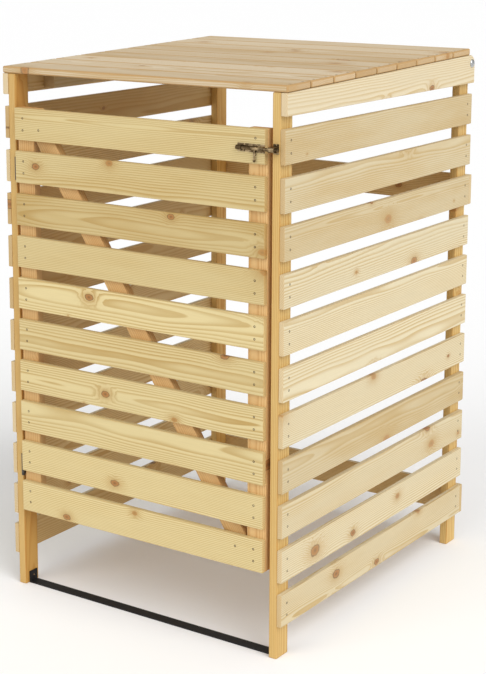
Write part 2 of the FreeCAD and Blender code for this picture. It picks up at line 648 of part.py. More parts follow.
def screw():
    """A screw with a low domed head."""
    head = Part.makeCone(size("screw_head_radius"), size("screw_head_radius") / 2, size("screw_head_height"))
    return fastener(head, size("screw_radius"), size("screw_length"))


def place_fasteners(name, model, spots):
    """One node of like fasteners: each spot is a point and the way its head faces."""
    copies = []
    for point, facing in spots:
        copy = model.copy()
        copy.Placement = FreeCAD.Placement(FreeCAD.Vector(*point), FreeCAD.Rotation(Z_AXIS, facing))
        copies.append(copy)
    feature = doc.addObject("Part::Feature", name)
    feature.Shape = Part.makeCompound(copies)
    feature.Placement = FreeCAD.Placement()
    keep_node(feature, name)


def pair(middle, spread):
    """Two places, half a spread either side of a middle."""
    return (middle - spread / 2, middle + spread / 2)


def make_frame_nails():
    """Nails of the side and rear boards into the posts."""
    spots = []
    spacing, half_board = size("board_nail_spacing"), size("board_height") / 2
    for level in range(SIDE_SLATS):
        middle = size("foot_height") + level * place("slat_pitch") + half_board
        for y in (place("front_y") + size("post_depth") / 2, place("rear_post_y") + size("post_depth") / 2):
            for z in pair(middle, spacing):
                spots.append(((place("half_width"), y, z), X_AXIS))
                spots.append(((-place("half_width"), y, z), -X_AXIS))
    rear_face = place("rear_y") + size("board_thickness")
    for level in (UPPER_REAR_LEVEL, LOWER_REAR_LEVEL):
        middle = size("foot_height") + level * place("slat_pitch") + half_board
        for x in (-place("post_middle"), place("post_middle")):
            for z in pair(middle, spacing):
                spots.append(((x, rear_face, z), Y_AXIS))
    place_fasteners("frame_nails", nail(size("frame_nail_length")), spots)


def make_door_nails():
    """Nails of the door boards into the ledges, and through the end boards into the brace."""
    spots = []
    inset = size("ledge_width") / 2
    for row in range(DOOR_SLATS):
        middle = place("door_top") - size("board_height") / 2 - row * place("door_pitch")
        spacing = size("door_nail_spacing")
        for z in pair(middle, spacing):
            spots.append(((place("door_left") + inset, place("door_y"), z), -Y_AXIS))
        if row == 0:
            spacing = size("latch_nail_spacing")
        for z in pair(middle, spacing):
            spots.append(((place("door_right") - inset, place("door_y"), z), -Y_AXIS))
    for x, z in ((place("door_left") + size("ledge_width") + inset, place("door_top") - 2 * inset),
                 (place("door_right") - size("ledge_width") - inset, place("door_bottom") + 2 * inset)):
        spots.append(((x, place("door_y"), z), -Y_AXIS))
    place_fasteners("door_nails", nail(size("door_nail_length")), spots)


def make_lid_nails():
    """Nails of the lid boards into the aprons, square to the slope."""
    slope = math.radians(place("lid_angle"))
    along = FreeCAD.Vector(0, math.cos(slope), math.sin(slope))
    upright = FreeCAD.Vector(0, -math.sin(slope), math.cos(slope))
    apron_middle = place("apron_inner") + size("apron_thickness") / 2
    start = FreeCAD.Vector(0, place("front_y"), place("lid_front_z")) + upright * size("lid_board_thickness")
    spots = []
    for row in range(LID_BOARDS):
        middle = row * place("lid_board_pitch") + place("lid_board_width") / 2
        for x in (-apron_middle, apron_middle):
            for distance in pair(middle, size("lid_nail_spacing")):
                spots.append((start + along * distance + X_AXIS * x, upright))
    place_fasteners("lid_nails", nail(size("lid_nail_length")), spots)


def make_screws():
    """Screws of the tie bar, the hinges and the latch."""
    frame_spots, door_spots = [], []
    tab_face = place("post_inner") - size("tie_bar_thickness")
    for sign in (-1, 1):
        frame_spots.append(((sign * tab_face, place("tie_bar_y"), size("tie_screw_height")), X_AXIS * -sign))
    post_leaf_face = size("hinge_leaf_thickness") - place("post_inner")
    door_leaf_face = place("door_left") - size("hinge_leaf_thickness")
    for alias in ("lower_hinge_z", "upper_hinge_z"):
        for z in pair(place(alias) + size("hinge_height") / 2, size("hinge_screw_spread")):
            frame_spots.append(((post_leaf_face, place("hinge_screw_y"), z), X_AXIS))
            door_spots.append(((door_leaf_face, place("hinge_screw_y"), z), -X_AXIS))
    for z in pair(place("latch_z"), place("keep_screw_spread")):
        frame_spots.append(((place("keep_x") + size("keep_width") / 2,
                             place("front_y") - size("latch_sheet"), z), -Y_AXIS))
    for column in range(2):
        x = place("latch_left") + size("plate_screw_inset") + column * size("plate_screw_pitch")
        for z in pair(place("latch_z"), size("plate_screw_spread")):
            door_spots.append(((x, place("door_y") - size("latch_sheet"), z), -Y_AXIS))
    place_fasteners("frame_screws", screw(), frame_spots)
    place_fasteners("door_screws", screw(), door_spots)


make_posts()
make_side_slats()
make_rear_boards()
make_tie_bar()
make_aprons()
make_lid_boards()
make_lid_battens()
make_pivots()
make_door()
make_hinges()
make_latch()
make_frame_nails()
make_door_nails()
make_lid_nails()
make_screws()
doc.recompute()

for thing in doc.Objects:
    if "Invalid" in thing.State or "Error" in thing.State:
        raise RuntimeError(f"{thing.Label} failed to compute: {thing.State}")
for node in nodes:
    if node.Shape.isNull() or not node.Shape.isValid() or not node.Shape.Solids:
        raise RuntimeError(f"{node.Label} has no valid solid")

os.makedirs("parts", exist_ok=True)
for node in nodes:
    node.Shape.exportStep(os.path.join("parts", node.Label + ".step"))
print(len(nodes), "nodes written")
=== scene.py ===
"""Slatted timber store for one wheeled bin, dressed over its working model.

Every board is sawn, eased and given its own piece of a pine log, so growth
rings, knots and end grain run through it.  The fittings are turned, bent and
bevelled metal.  Each finish is a material made of nodes.
"""
import json
import math
import random

import bpy
from bpy.props import FloatProperty, FloatVectorProperty, PointerProperty
from mathutils import Matrix, Vector

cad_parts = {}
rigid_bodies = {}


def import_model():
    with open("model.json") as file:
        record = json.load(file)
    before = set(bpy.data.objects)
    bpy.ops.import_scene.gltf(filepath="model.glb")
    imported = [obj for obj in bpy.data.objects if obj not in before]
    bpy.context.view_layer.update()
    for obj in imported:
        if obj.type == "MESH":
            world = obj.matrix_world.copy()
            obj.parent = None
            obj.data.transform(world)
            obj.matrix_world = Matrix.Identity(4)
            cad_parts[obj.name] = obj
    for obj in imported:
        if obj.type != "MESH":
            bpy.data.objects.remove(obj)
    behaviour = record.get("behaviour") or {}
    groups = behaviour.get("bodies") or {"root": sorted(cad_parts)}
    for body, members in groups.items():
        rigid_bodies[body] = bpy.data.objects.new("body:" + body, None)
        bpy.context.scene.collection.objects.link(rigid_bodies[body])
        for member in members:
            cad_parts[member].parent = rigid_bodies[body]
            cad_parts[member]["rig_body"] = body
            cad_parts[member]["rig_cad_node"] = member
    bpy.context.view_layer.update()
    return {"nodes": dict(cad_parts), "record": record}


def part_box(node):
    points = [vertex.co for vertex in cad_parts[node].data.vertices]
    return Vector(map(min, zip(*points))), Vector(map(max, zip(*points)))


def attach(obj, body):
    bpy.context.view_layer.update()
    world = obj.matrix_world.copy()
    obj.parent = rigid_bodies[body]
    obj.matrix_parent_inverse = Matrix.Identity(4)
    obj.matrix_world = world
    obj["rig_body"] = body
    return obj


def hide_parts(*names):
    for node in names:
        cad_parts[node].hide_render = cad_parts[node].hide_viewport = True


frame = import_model()

bl_info = {
    "name": "Timber bin store",
    "version": (1, 0, 0),
    "blender": (4, 5, 0),
    "location": "View3D > Sidebar > Bin store",
    "description": "Builds the boards, fittings and finishes of a slatted bin store",
    "category": "Add Mesh",
}

X_WAY = Vector((1, 0, 0))
Z_WAY = Vector((0, 0, 1))
SIDES = ("left", "right")
LID_BOARDS = 9
LOG_LENGTH = 60.0
THICKEST_BOARD = 0.02
KEY_LIGHT_PLACE = (3.4, -1.2, 3.0)
FRONT_LIGHT_PLACE = (-0.6, -3.8, 2.0)
BARK = (0.02, 0.012, 0.008, 1.0)
# painted shade: the warm darkening multiplied into the inner faces of the upright boards
INSIDE_SHADE_TINT = (1.0, 0.84, 0.60, 1.0)
KNOT_RING = 0.0014
KNOTLESS_SHARE = 0.36
KNOT_GROWTH = 1.75
HALO_WIDTH = 2.1
SWAY = (0.02, 0.016, 0.024)

# the first of the seeds that place each kind of board in its log
SEEDS = {"front posts": 100, "rear posts": 110, "sides": 200, "rear boards": 260, "door boards": 300,
         "door ledges": 340, "brace": 350, "lid boards": 400, "battens": 420, "aprons": 430}


def colour(name, default, text):
    """A colour setting."""
    return FloatVectorProperty(name=name, description=text, subtype="COLOR", size=3,
                               min=0.0, max=1.0, default=default)


def length(name, default, text):
    """A length setting, in metres."""
    return FloatProperty(name=name, description=text, unit="LENGTH", min=0.0, default=default, precision=5)


class TimberSettings(bpy.types.PropertyGroup):
    """Sizes and colours of the boards"""
    edge_ease: length("Edge ease", 0.0011, "Rounding of the sawn edges")
    post_ease: length("Post edge ease", 0.002, "Rounding of the planed edges of the posts")
    lid_ease: length("Lid board edge ease", 0.003, "Rounding of the long edges of the lid boards")
    lid_thickness: length("Lid board thickness", 0.015, "Thickness of the boards of the lid")
    apron_corner: length("Apron corner", 0.024, "Rounding of the aprons' upper rear corners")
    ring_spacing: length("Ring spacing", 0.0034, "Width of one year's growth")
    knot_spacing: length("Knot spacing", 0.135, "Usual distance between two branches in the log")
    knot_size: length("Knot size", 0.0095, "Usual radius of a knot")
    side_pale: colour("Side boards", (0.70, 0.61, 0.41), "Early wood of the side and rear boards")
    side_dark: colour("Side boards, late wood", (0.52, 0.36, 0.15), "Late wood of the side boards")
    post_pale: colour("Posts", (0.67, 0.47, 0.18), "Early wood of the posts")
    post_dark: colour("Posts, late wood", (0.52, 0.28, 0.07), "Late wood of the posts")
    door_pale: colour("Door boards", (0.68, 0.56, 0.29), "Early wood of the door boards")
    door_dark: colour("Door boards, late wood", (0.45, 0.29, 0.09), "Late wood of the door boards")
    brace_pale: colour("Door ledges", (0.70, 0.46, 0.20), "Early wood of the ledges and the brace")
    brace_dark: colour("Door ledges, late wood", (0.54, 0.28, 0.09), "Late wood of the ledges and the brace")
    lid_pale: colour("Lid boards", (0.70, 0.59, 0.42), "Early wood of the lid boards")
    lid_dark: colour("Lid boards, late wood", (0.50, 0.33, 0.14), "Late wood of the lid boards")
    apron_pale: colour("Lid aprons", (0.70, 0.60, 0.41), "Early wood of the aprons and lid battens")
    apron_dark: colour("Lid aprons, late wood", (0.56, 0.41, 0.20), "Late wood of the aprons and battens")
    # The amber on the eased edges is a painted highlight, where light catches their rounding; the lid boards
    # get a stronger one
    edge_highlight: FloatProperty(name="Edge highlight", description="Amber tint of the eased edges", default=0.35)
    joint_highlight: FloatProperty(name="Joint highlight", description="Amber tint beside the joints of the lid",
                                default=0.95)
    knot: colour("Knots", (0.42, 0.17, 0.045), "Heart of a knot")


class FittingSettings(bpy.types.PropertyGroup):
    """Sizes and colours of the metal fittings"""
    sheet_ease: length("Sheet edge ease", 0.0003, "Rounding of the edges of sheet metal")
    bar_ease: length("Bar edge ease", 0.0005, "Rounding of the edges of the tie bar")
    nail_dish: length("Nail dish", 0.0002, "Depth of the shallow dish in a nail head")
    slot_depth: length("Cross slot depth", 0.0009, "Depth of the cross slot of a screw")
    nail_radius: length("Nail head radius", 0.0026, "Half the width of a nail head")
    nail_buried: length("Nail head sunk part", 0.0012, "How far a nail head reaches into the board")
    screw_radius: length("Screw head radius", 0.002, "Half the width of a screw head")
    screw_height: length("Screw head height", 0.0011, "Height of a screw head")
    rod_radius: length("Bolt rod radius", 0.0035, "Half the thickness of the barrel bolt's rod")
    rod_step: length("Bolt rod step", 0.0012, "Length of one step in the turning of the rod")
    knob_radius: length("Lever knob radius", 0.003, "Half the width of the lever's foot")
    neck_radius: length("Lever neck radius", 0.0025, "Half the width of the lever's root")
    dome_height: length("Pivot dome height", 0.0045, "Height of a pivot bolt's domed head")
    shank_radius: length("Pivot shank radius", 0.004, "Half the thickness of a pivot bolt's shank")
    nut_ease: length("Nut edge ease", 0.0005, "Rounding of the edges of a nut")
    brass: colour("Antiqued brass", (0.50, 0.37, 0.21), "Rubbed brass of the barrel bolt")
    brass_aged: colour("Aged brass", (0.10, 0.065, 0.03), "Darkened hollows of the brass")
    zinc: colour("Zinc", (0.55, 0.56, 0.56), "Zinc plating of the pivot bolts")
    zinc_aged: colour("Dull zinc", (0.26, 0.26, 0.25), "Dulled zinc")
    black: colour("Black paint", (0.008, 0.0075, 0.0075), "Paint of the tie bar")
    black_aged: colour("Rubbed paint", (0.018, 0.017, 0.016), "Rubbed paint of the tie bar")
    dark_steel: colour("Dark steel", (0.05, 0.045, 0.04), "Lacquered steel of the hinges")
    dark_steel_aged: colour("Rubbed steel", (0.16, 0.14, 0.12), "Rubbed steel of the hinges")
    nail: colour("Nail steel", (0.12, 0.095, 0.07), "Heads of the nails")
    nail_aged: colour("Stained nail steel", (0.05, 0.035, 0.025), "Stained heads of the nails")


class StageSettings(bpy.types.PropertyGroup):
    """Floor, light and camera"""
    floor: colour("Floor", (0.93, 0.93, 0.93), "Plain pale floor")
    floor_size: length("Floor size", 160.0, "Width of the floor")
    sky: FloatProperty(name="Sky", description="Strength of the even light all round", default=0.52)
    key_power: FloatProperty(name="Key light", description="Strength of the soft light from the right",
                             default=2.05)
    front_power: FloatProperty(name="Front light", description="Strength of the soft light from the front",
                               default=1.02)
    softness: FloatProperty(name="Softness", description="How wide the soft lights look",
                            subtype="ANGLE", default=math.radians(50))
    lens: FloatProperty(name="Lens", description="Focal length in millimetres", default=87.1)
    azimuth: FloatProperty(name="Azimuth", description="Camera direction, 0 looks along +Y",
                           subtype="ANGLE", default=math.radians(34.94))
    pitch: FloatProperty(name="Pitch", description="Camera tilt, negative looks down",
                         subtype="ANGLE", default=math.radians(-11.02))
    camera_place: FloatVectorProperty(name="Camera place", description="Where the camera stands",
                                      subtype="TRANSLATION", default=(2.036, -3.056, 1.504))
    shift: FloatVectorProperty(name="Shift", description="Lens shift, across and up", size=2,
                               default=(0.0504, -0.15))


# ---------------------------------------------------------------- mesh helpers


def deselect_all():
    """Leaves edit mode and selects nothing."""
    if bpy.context.object and bpy.context.object.mode != "OBJECT":
        bpy.ops.object.mode_set(mode="OBJECT")
    bpy.ops.object.select_all(action="DESELECT")


def select_only(piece):
    """Makes one piece the active and only selected one."""
    deselect_all()
    piece.select_set(True)
    bpy.context.view_layer.objects.active = piece


def pick(piece, kind, chosen):
    """Selects the vertices, edges or faces of a piece that a test picks, and enters edit mode."""
    select_only(piece)
    bpy.ops.object.mode_set(mode="EDIT")
    bpy.ops.mesh.select_mode(type=kind)
    bpy.ops.mesh.select_all(action="DESELECT")
    bpy.ops.object.mode_set(mode="OBJECT")
    parts = {"VERT": piece.data.vertices, "EDGE": piece.data.edges, "FACE": piece.data.polygons}[kind]
    picked = [part for part in parts if chosen(part)]
    if not picked:
        raise RuntimeError(f"nothing to shape on {piece.name}")
    for part in picked:
        part.select = True
    bpy.ops.object.mode_set(mode="EDIT")


def use_modifier(piece, kind, **settings):
    """Adds one modifier with its settings and applies it."""
    select_only(piece)
    modifier = piece.modifiers.new(kind.lower(), kind)
    for name, value in settings.items():
        setattr(modifier, name, value)
    bpy.ops.object.modifier_apply(modifier=modifier.name)


def ease_edges(piece, width, segments=2, angle=math.radians(30)):
    """Rounds the sharp edges and keeps the flat faces looking flat."""
    use_modifier(piece, "BEVEL", width=width, segments=segments, limit_method="ANGLE",
                 angle_limit=angle, use_clamp_overlap=True)
    select_only(piece)
    bpy.ops.object.shade_smooth_by_angle(angle=math.radians(60))
    use_modifier(piece, "WEIGHTED_NORMAL", mode="FACE_AREA", keep_sharp=True)


def settle(piece):
    """Leaves the place, turn and scale of a piece in its mesh."""
    select_only(piece)
    bpy.ops.object.transform_apply(location=True, rotation=True, scale=True)


def twin(piece, name):
    """A copy of a piece with its own mesh."""
    select_only(piece)
    bpy.ops.object.duplicate(linked=False)
    copy = bpy.context.object
    copy.name = name
    copy.data.name = name
    return copy


def discard(piece):
    """Removes a pattern that has been copied."""
    bpy.data.objects.remove(piece, do_unlink=True)


def join(pieces, name):
    """Several meshes as one piece."""
    deselect_all()
    for piece in pieces:
        piece.select_set(True)
    bpy.context.view_layer.objects.active = pieces[0]
    bpy.ops.object.join()
    whole = bpy.context.object
    whole.name = name
    whole.data.name = name
    return whole


def hand_over(piece, finish, node):
    """Gives a finished piece its material and its body, and hides the node that it stands for."""
    slot = slot_of_node(node)
    piece.data.materials.clear()
    piece.data.materials.append(finish(slot))
    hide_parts(node)
    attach(piece, body_of_node(node))


def body_of_node(node):
    """The moving body that a node belongs to."""
    bodies = frame["record"]["behaviour"]["bodies"]
    return next(name for name, members in bodies.items() if node in members)


def slot_of_node(node):
    """The material slot that a node takes its finish from."""
    return next(part["material_slot"] for part in frame["record"]["subparts"] if part["node"] == node)


def middle_and_extent(node):
    """Centre and size of a node's box."""
    low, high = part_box(node)
    return (low + high) / 2, high - low


# ---------------------------------------------------------------- node helpers


class NodeSheet:
    """Adds nodes to a tree in reading order and joins them up."""

    def __init__(self, tree):
        self.tree = tree
        self.count = 0

    def add(self, kind, **settings):
        """A node with its settings."""
        node = self.tree.nodes.new(kind)
        for name, value in settings.items():
            setattr(node, name, value)
        node.location = (200 * (self.count // 5), -220 * (self.count % 5))
        self.count += 1
        return node

    def put(self, socket, value):
        """Links a socket to another, or sets its value."""
        if isinstance(value, bpy.types.NodeSocket):
            self.tree.links.new(value, socket)
        else:
            socket.default_value = value

    def maths(self, operation, first, second=0.0):
        """One step of arithmetic on two numbers."""
        node = self.add("ShaderNodeMath", operation=operation)
        self.put(node.inputs[0], first)
        self.put(node.inputs[1], second)
        return node.outputs[0]

    def ramp(self, value, low, high, start=0.0, end=1.0):
        """A smooth step between two values."""
        node = self.add("ShaderNodeMapRange", interpolation_type="SMOOTHSTEP")
        for name, number in (("Value", value), ("From Min", low), ("From Max", high),
                             ("To Min", start), ("To Max", end)):
            self.put(node.inputs[name], number)
        return node.outputs["Result"]

    def stretch(self, vector, factors):
        """A vector with each coordinate multiplied."""
        node = self.add("ShaderNodeVectorMath", operation="MULTIPLY")
        self.put(node.inputs[0], vector)
        self.put(node.inputs[1], factors)
        return node.outputs[0]

    def blend(self, factor, first, second, mode="MIX"):
        """A mix of two colours."""
        node = self.add("ShaderNodeMix", data_type="RGBA", blend_type=mode)
        self.put(node.inputs[0], factor)
        self.put(node.inputs[6], first)
        self.put(node.inputs[7], second)
        return node.outputs[2]

    def noise(self, vector, scale, detail, roughness=0.5):
        """A cloudy pattern."""
        node = self.add("ShaderNodeTexNoise")
        for name, value in (("Vector", vector), ("Scale", scale), ("Detail", detail),
                            ("Roughness", roughness)):
            self.put(node.inputs[name], value)
        return node

    def attribute(self, name):
        """A named attribute of the mesh."""
        return self.add("ShaderNodeAttribute", attribute_type="GEOMETRY", attribute_name=name)


def new_group(name, inputs, outputs):
    """An empty node group with named sockets."""
    tree = bpy.data.node_groups.new(name, "ShaderNodeTree")
    for label, kind in inputs:
        tree.interface.new_socket(label, in_out="INPUT", socket_type=kind)
    for label, kind in outputs:
        tree.interface.new_socket(label, in_out="OUTPUT", socket_type=kind)
    sheet = NodeSheet(tree)
    return tree, sheet, sheet.add("NodeGroupInput").outputs, sheet.add("NodeGroupOutput").inputs


def sway_grain(n, grain):
    """Board coordinates that wander a little, as a trunk grows."""
    sway = n.noise(n.stretch(grain, (1.7, 7.0, 7.0)), 1.0, 2.0).outputs["Color"]
    centred = n.add("ShaderNodeVectorMath", operation="SUBTRACT")
    n.put(centred.inputs[0], sway)
    n.put(centred.inputs[1], (0.5, 0.5, 0.5))
    swayed = n.add("ShaderNodeVectorMath", operation="MULTIPLY_ADD")
    n.put(swayed.inputs[0], centred.outputs[0])
    n.put(swayed.inputs[1], SWAY)
    n.put(swayed.inputs[2], grain)
    return swayed.outputs[0]


def branches_in(n, swayed, grain, given):
    """The branches that cross a board: distance from the nearest, its radius and its luck."""
    place = n.add("ShaderNodeVectorMath", operation="DIVIDE")
    n.put(place.inputs[0], n.stretch(swayed, (0.66, 1.0, 0.0)))
    pitch = n.add("ShaderNodeCombineXYZ")
    n.put(pitch.inputs[0], given["Knot spacing"])
    n.put(pitch.inputs[1], given["Knot spacing"])
    n.put(pitch.inputs[2], 1.0)
    n.put(place.inputs[1], pitch.outputs[0])
    cells = n.add("ShaderNodeTexVoronoi", voronoi_dimensions="2D", feature="F1")
    n.put(cells.inputs["Vector"], place.outputs[0])
    n.put(cells.inputs["Scale"], 1.0)
    n.put(cells.inputs["Randomness"], 0.9)
    away = n.maths("MULTIPLY", cells.outputs["Distance"], given["Knot spacing"])
    ragged = n.noise(n.stretch(grain, (110.0, 110.0, 40.0)), 1.0, 1.0).outputs["Fac"]
    away = n.maths("MULTIPLY", away, n.maths("ADD", n.maths("MULTIPLY", ragged, 0.5), 0.75))
    luck = n.add("ShaderNodeSeparateColor")
    n.put(luck.inputs[0], cells.outputs["Color"])
    vigour = n.maths("MAXIMUM", n.maths("SUBTRACT", luck.outputs[0], KNOTLESS_SHARE), 0.0)
    radius = n.maths("MULTIPLY", n.maths("MULTIPLY", vigour, KNOT_GROWTH), given["Knot size"])
    return away, radius, luck.outputs[1]


def late_wood(n, swayed, swell, radius, given):
    """The dark part of each growth ring about the pith, pushed aside by the knots."""
    split = n.add("ShaderNodeSeparateXYZ")
    n.put(split.inputs[0], swayed)
    across = n.maths("MULTIPLY", split.outputs[1], split.outputs[1])
    inward = n.maths("MULTIPLY", split.outputs[2], split.outputs[2])
    from_pith = n.maths("SQRT", n.maths("ADD", across, inward))
    pushed = n.maths("ADD", from_pith, n.maths("MULTIPLY", swell, n.maths("MULTIPLY", radius, 1.5)))
    years = n.maths("FRACT", n.maths("DIVIDE", pushed, given["Ring spacing"]))
    return n.maths("MULTIPLY", n.ramp(years, 0.3, 0.88), n.ramp(years, 0.92, 1.0, 1.0, 0.0))


def clear_wood(n, given, amber, late, swell, clouds):
    """The colour of knot-free wood on a planed face."""
    strength = n.maths("MULTIPLY", n.ramp(clouds, 0.25, 0.75, 0.45, 0.95), late)
    wood = n.blend(strength, given["Early wood"], given["Late wood"])
    wood = n.blend(n.maths("MULTIPLY", swell, 0.75), wood, amber)
    tone = n.attribute("board_tone").outputs["Fac"]
    heartwood = n.maths("MULTIPLY", n.ramp(tone, 0.25, 1.0), n.ramp(clouds, 0.35, 0.75, 0.3, 0.8))
    return n.blend(heartwood, wood, given["Late wood"])


def worked_faces(n, given, amber, wood, end_face):
    """Tints the sawn ends amber, paints a highlight along the eased edges and paints shade on the inner
    faces.
    """
    tone = n.attribute("board_tone").outputs["Fac"]
    eased = n.attribute("eased").outputs["Fac"]
    ends = n.maths("MULTIPLY", end_face, n.maths("ADD", n.maths("MULTIPLY", tone, 0.35), 0.3))
    # painted highlight: the eased edges are tinted amber as if lit; the sawn ends get their own amber tint
    end_tint_and_highlight = n.maths("MAXIMUM", ends, n.maths("MULTIPLY", eased, given["Edge highlight"]))
    wood = n.blend(end_tint_and_highlight, wood, amber)
    # painted shade: the inner faces of the upright boards are darkened and warmed
    return n.blend(n.attribute("inside_painted_shade").outputs["Fac"], wood, INSIDE_SHADE_TINT, "MULTIPLY")


def light_and_dark(n, wood, fibres, clouds, end_face):
    """Lightens and darkens the wood by its fibres, its clouds, its board and its ends."""
    tone = n.attribute("board_tone").outputs["Fac"]
    level = n.maths("ADD", n.maths("MULTIPLY", fibres, 0.16), 0.92)
    level = n.maths("ADD", level, n.maths("MULTIPLY", n.maths("SUBTRACT", clouds, 0.5), 0.12))
    level = n.maths("SUBTRACT", level, n.maths("MULTIPLY", tone, 0.09))
    level = n.maths("ADD", level, n.maths("MULTIPLY", end_face, 0.04))
    gray = n.add("ShaderNodeCombineColor")
    for socket in gray.inputs[:3]:
        n.put(socket, level)
    return n.blend(1.0, wood, gray.outputs[0], "MULTIPLY")


def knot_heart(n, given, amber, bark, away, share, live):
    """The colour inside a knot: fine rings about a dark middle, paler in a live knot."""
    rings = n.ramp(n.maths("FRACT", n.maths("DIVIDE", away, KNOT_RING)), 0.15, 0.95)
    heart = n.blend(n.maths("MULTIPLY", rings, 0.4), given["Knot"], bark)
    heart = n.blend(n.ramp(share, 0.1, 0.6, 0.7, 0.0), heart, bark)
    return n.blend(n.maths("ADD", n.maths("MULTIPLY", live, 0.45), 0.2), heart, amber)


def pine_log():
    """Node group: growth rings about a pith, knots, fibres and end grain of a pine board."""
    name = "Pine log"
    if name in bpy.data.node_groups:
        return bpy.data.node_groups[name]
    shade, number = "NodeSocketColor", "NodeSocketFloat"
    tree, n, given, result = new_group(
        name,
        (("Early wood", shade), ("Late wood", shade), ("Knot", shade), ("Ring spacing", number),
         ("Knot spacing", number), ("Knot size", number), ("Edge highlight", number)),
        (("Color", shade), ("Roughness", number), ("Height", number)))
    grain = n.attribute("grain").outputs["Vector"]
    end_face = n.attribute("end_grain").outputs["Fac"]
    fibres = n.noise(n.stretch(grain, (14.0, 620.0, 620.0)), 1.0, 3.0, 0.6).outputs["Fac"]
    clouds = n.noise(n.stretch(grain, (3.0, 16.0, 16.0)), 1.0, 3.0).outputs["Fac"]
    amber = n.blend(0.25, given["Late wood"], given["Knot"])
    bark = n.blend(0.75, given["Knot"], BARK)

    swayed = sway_grain(n, grain)
    away, radius, luck = branches_in(n, swayed, grain, given)
    share = n.maths("DIVIDE", away, n.maths("ADD", radius, 0.0004))
    present = n.ramp(radius, 0.0006, 0.0018)
    reach = n.maths("DIVIDE", share, HALO_WIDTH)
    swell = n.maths("EXPONENT", n.maths("MULTIPLY", n.maths("MULTIPLY", reach, reach), -1.0))
    swell = n.maths("MULTIPLY", swell, present)
    late = late_wood(n, swayed, swell, radius, given)
    wood = clear_wood(n, given, amber, late, swell, clouds)
    wood = worked_faces(n, given, amber, wood, end_face)
    wood = light_and_dark(n, wood, fibres, clouds, end_face)

    live = n.ramp(luck, 0.35, 0.65)
    core = n.maths("MULTIPLY", n.ramp(share, 0.70, 1.05, 1.0, 0.0), present)
    rim = n.maths("MULTIPLY", n.ramp(share, 0.78, 0.95), n.ramp(share, 1.0, 1.16, 1.0, 0.0))
    rim = n.maths("MULTIPLY", n.maths("MULTIPLY", rim, present), n.ramp(live, 0.0, 1.0, 0.7, 0.0))
    wood = n.blend(core, wood, knot_heart(n, given, amber, bark, away, share, live))
    n.put(result["Color"], n.blend(rim, wood, bark))

    rough = n.maths("ADD", n.maths("MULTIPLY", fibres, 0.16), 0.54)
    rough = n.maths("ADD", rough, n.maths("MULTIPLY", end_face, 0.15))
    n.put(result["Roughness"], n.maths("SUBTRACT", rough, n.maths("MULTIPLY", core, 0.18)))
    relief = n.maths("ADD", n.maths("MULTIPLY", late, 0.45), n.maths("MULTIPLY", fibres, 0.5))
    n.put(result["Height"], n.maths("SUBTRACT", relief, n.maths("MULTIPLY", rim, 0.9)))
    return tree


def metal_skin():
    """Node group: rubbed and aged patches, fine scratches and pits of a metal finish."""
    name = "Metal skin"
    if name in bpy.data.node_groups:
        return bpy.data.node_groups[name]
    shade, number = "NodeSocketColor", "NodeSocketFloat"
    tree, n, given, result = new_group(
        name,
        (("Rubbed", shade), ("Aged", shade), ("Patch size", number), ("Age", number),
         ("Smooth", number), ("Coarse", number)),
        (("Color", shade), ("Roughness", number), ("Height", number)))
    place = n.add("ShaderNodeTexCoord").outputs["Object"]
    patch_scale = n.maths("DIVIDE", 1.0, given["Patch size"])
    patches = n.noise(place, patch_scale, 4.0, 0.6).outputs["Fac"]
    pits = n.noise(place, 2600.0, 2.0).outputs["Fac"]
    scratches = n.noise(n.stretch(place, (240.0, 3200.0, 3200.0)), 1.0, 2.0).outputs["Fac"]
    edge = n.maths("SUBTRACT", 1.0, given["Age"])
    aged = n.ramp(patches, n.maths("SUBTRACT", edge, 0.14), n.maths("ADD", edge, 0.14))
    tone = n.blend(aged, given["Rubbed"], given["Aged"])
    tone = n.blend(n.ramp(scratches, 0.55, 0.8, 0.0, 0.3), tone, given["Rubbed"])
    n.put(result["Color"], tone)
    spread = n.maths("SUBTRACT", given["Coarse"], given["Smooth"])
    dull = n.maths("ADD", n.maths("MULTIPLY", aged, 0.75), n.maths("MULTIPLY", pits, 0.25))
    n.put(result["Roughness"], n.maths("ADD", given["Smooth"], n.maths("MULTIPLY", dull, spread)))
    relief = n.maths("ADD", n.maths("MULTIPLY", pits, 0.5), n.maths("MULTIPLY", patches, 0.8))
    n.put(result["Height"], n.maths("ADD", relief, n.maths("MULTIPLY", scratches, 0.3)))
    return tree


def dressed_material(slot, group, values, metallic, relief):
    """A material whose colour, roughness and relief come from one group."""
    name = slot + "_finish"
    if name in bpy.data.materials:
        return bpy.data.materials[name]
    material = bpy.data.materials.new(name)
    material.use_nodes = True
    material.node_tree.nodes.clear()
    n = NodeSheet(material.node_tree)
    skin = n.add("ShaderNodeGroup", node_tree=group)
    for label, value in values.items():
        skin.inputs[label].default_value = value
    shader = n.add("ShaderNodeBsdfPrincipled")
    shader.inputs["Metallic"].default_value = metallic
    shader.inputs["Specular IOR Level"].default_value = 0.5 if metallic else 0.3
    bump = n.add("ShaderNodeBump")
    bump.inputs["Strength"].default_value = 0.6
    bump.inputs["Distance"].default_value = relief
    n.put(shader.inputs["Base Color"], skin.outputs["Color"])
    n.put(shader.inputs["Roughness"], skin.outputs["Roughness"])
    n.put(bump.inputs["Height"], skin.outputs["Height"])
    n.put(shader.inputs["Normal"], bump.outputs["Normal"])
    n.put(n.add("ShaderNodeOutputMaterial").inputs["Surface"], shader.outputs["BSDF"])
    return material


def opaque(tint):
    """A colour setting as a socket value."""
    return (*tint, 1.0)


PINE_FINISHES = {
    "side_pine": ("side_pale", "side_dark"),
    "post_pine": ("post_pale", "post_dark"),
    "door_pine": ("door_pale", "door_dark"),
    "door_frame_pine": ("brace_pale", "brace_dark"),
    "lid_pine": ("lid_pale", "lid_dark"),
    "lid_frame_pine": ("apron_pale", "apron_dark"),
}


